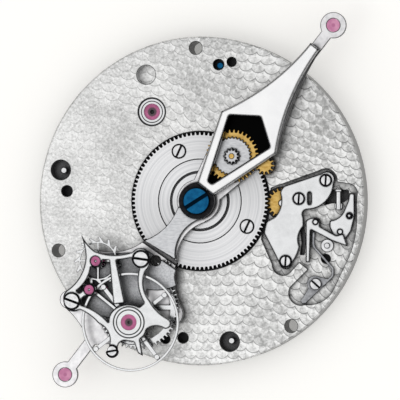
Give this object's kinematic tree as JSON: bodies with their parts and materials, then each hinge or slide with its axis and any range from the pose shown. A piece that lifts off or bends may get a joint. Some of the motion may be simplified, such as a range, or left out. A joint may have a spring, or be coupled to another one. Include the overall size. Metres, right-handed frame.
{
  "type": "mechanical watch movement",
  "caption": "Mechanical watch movement with a long carousel hand that carries the balance, the escapement and its gear train",
  "frame": {"origin": "centre of the back face of the main plate", "axes": "+Z points from the back to the dial side; +X points right and +Y up in the dial-side view"},
  "size_m": [0.035, 0.0398, 0.0073],
  "materials": {
    "plated_plate": "rhodium plated, brushed",
    "polished_steel": "polished",
    "satin_steel": "circular satin",
    "polished_cover": "polished, bevelled",
    "spring_steel": "satin",
    "dark_steel": "dark, satin",
    "blued_steel": "heat blued, polished",
    "gilt_brass": "gilt",
    "ruby": "polished synthetic ruby"
  },
  "bodies": {
    "movement_base": {"main_plate": "plated_plate", "back_cover": "plated_plate", "back_cover_screws": "polished_steel", "plate_jewel": "ruby", "plate_jewel_setting": "gilt_brass", "sunk_pins": "polished_steel", "blued_pin": "blued_steel", "setting_stud": "polished_steel", "setting_bridge": "polished_steel", "setting_bridge_screws": "polished_steel", "lever_posts": "polished_steel", "lever_spring": "spring_steel", "lever_spring_screw": "polished_steel", "adjusting_screw": "gilt_brass"},
    "barrel": {"barrel_drum": "gilt_brass", "barrel_lid": "gilt_brass", "mainspring": "spring_steel"},
    "centre_wheel": {"centre_wheel": "satin_steel", "centre_hub": "satin_steel", "centre_wheel_screws": "polished_steel"},
    "setting_wheel": {"setting_wheel": "gilt_brass"},
    "rocker_lever": {"rocker_lever": "satin_steel"},
    "index_lever": {"index_lever": "polished_steel"},
    "carousel": {"carousel_arm": "plated_plate", "hand_ruby": "ruby", "tail_ruby": "ruby", "hand_tail": "satin_steel", "centre_collar": "dark_steel", "centre_arbor": "polished_steel", "centre_screw": "blued_steel", "hand_cover": "polished_cover", "hand_well": "dark_steel", "hand_stud": "gilt_brass", "train_studs": "polished_steel", "escapement_plate": "plated_plate", "lower_pillars": "polished_steel", "upper_pillars": "polished_steel", "balance_bridge": "polished_steel", "balance_bridge_screws": "polished_steel", "bridge_jewels": "ruby", "balance_jewel": "ruby", "balance_jewel_setting": "polished_steel"},
    "drive_pinion": {"drive_pinion": "gilt_brass"},
    "large_wheel": {"large_wheel": "satin_steel"},
    "idler_pinion": {"idler_pinion": "gilt_brass"},
    "escape_wheel": {"escape_wheel": "satin_steel"},
    "pallet_fork": {"pallet_fork": "polished_steel", "pallet_stones": "ruby"},
    "balance": {"balance_wheel": "polished_steel", "balance_weights": "polished_steel", "balance_staff": "polished_steel", "roller": "polished_steel", "hairspring": "spring_steel"},
    "hand_drive_pinion": {"hand_drive_pinion": "gilt_brass"},
    "hand_wheel": {"hand_wheel": "gilt_brass", "hand_steel_wheel": "satin_steel"}
  },
  "joints": [
    {"name": "barrel_winding", "type": "hinge", "parent": "movement_base", "child": "barrel", "pos_m": [0, 0, 0.00055], "axis": [0, 0, 1], "continuous": true},
    {"name": "hand_setting", "type": "hinge", "parent": "movement_base", "child": "centre_wheel", "pos_m": [0, 0, 0.00273], "axis": [0, 0, 1], "continuous": true},
    {"name": "setting_wheel_turn", "type": "hinge", "parent": "movement_base", "child": "setting_wheel", "pos_m": [0.0087, -0.00023, 0.00273], "axis": [0, 0, 1], "continuous": true},
    {"name": "rocker_tilt", "type": "hinge", "parent": "movement_base", "child": "rocker_lever", "pos_m": [0.01494, -0.00324, 0.00301], "axis": [0, 0, 1], "range_deg": [-1.5, 4], "stiffness_Nm_per_rad": 0.0000001},
    {"name": "index_tilt", "type": "hinge", "parent": "movement_base", "child": "index_lever", "pos_m": [0.01235, -0.00221, 0.0034], "axis": [0, 0, 1], "range_deg": [-3, 3], "stiffness_Nm_per_rad": 0.0000001},
    {"name": "carousel_turn", "type": "hinge", "parent": "centre_wheel", "child": "carousel", "pos_m": [0, 0, 0.0044], "axis": [0, 0, 1], "continuous": true},
    {"name": "drive_pinion_turn", "type": "hinge", "parent": "carousel", "child": "drive_pinion", "pos_m": [-0.00361, -0.00708, 0.0044], "axis": [0, 0, 1], "continuous": true},
    {"name": "large_wheel_turn", "type": "hinge", "parent": "carousel", "child": "large_wheel", "pos_m": [-0.00649, -0.01129, 0.00493], "axis": [0, 0, 1], "continuous": true},
    {"name": "idler_turn", "type": "hinge", "parent": "carousel", "child": "idler_pinion", "pos_m": [-0.00978, -0.00739, 0.00493], "axis": [0, 0, 1], "continuous": true},
    {"name": "escape_wheel_turn", "type": "hinge", "parent": "carousel", "child": "escape_wheel", "pos_m": [-0.01065, -0.00636, 0.00493], "axis": [0, 0, 1], "continuous": true},
    {"name": "fork_tilt", "type": "hinge", "parent": "carousel", "child": "pallet_fork", "pos_m": [-0.01134, -0.00938, 0.00564], "axis": [0, 0, 1], "range_deg": [-5, 5]},
    {"name": "balance_swing", "type": "hinge", "parent": "carousel", "child": "balance", "pos_m": [-0.00704, -0.01281, 0.00614], "axis": [0, 0, 1], "range_deg": [-150, 150], "stiffness_Nm_per_rad": 0.00000024},
    {"name": "hand_drive_turn", "type": "hinge", "parent": "carousel", "child": "hand_drive_pinion", "pos_m": [0.00716, 0.00379, 0.0044], "axis": [0, 0, 1], "continuous": true},
    {"name": "hand_wheel_turn", "type": "hinge", "parent": "carousel", "child": "hand_wheel", "pos_m": [0.00369, 0.00473, 0.00493], "axis": [0, 0, 1], "continuous": true}
  ],
  "couplings": [
    {"joint": "setting_wheel_turn", "follows": "hand_setting", "ratio": -4.8},
    {"joint": "drive_pinion_turn", "follows": "carousel_turn", "ratio": 9.6},
    {"joint": "large_wheel_turn", "follows": "carousel_turn", "ratio": -1.6552},
    {"joint": "idler_turn", "follows": "carousel_turn", "ratio": 9.6},
    {"joint": "escape_wheel_turn", "follows": "carousel_turn", "ratio": -12},
    {"joint": "hand_drive_turn", "follows": "carousel_turn", "ratio": 8},
    {"joint": "hand_wheel_turn", "follows": "carousel_turn", "ratio": -2.6667}
  ]
}
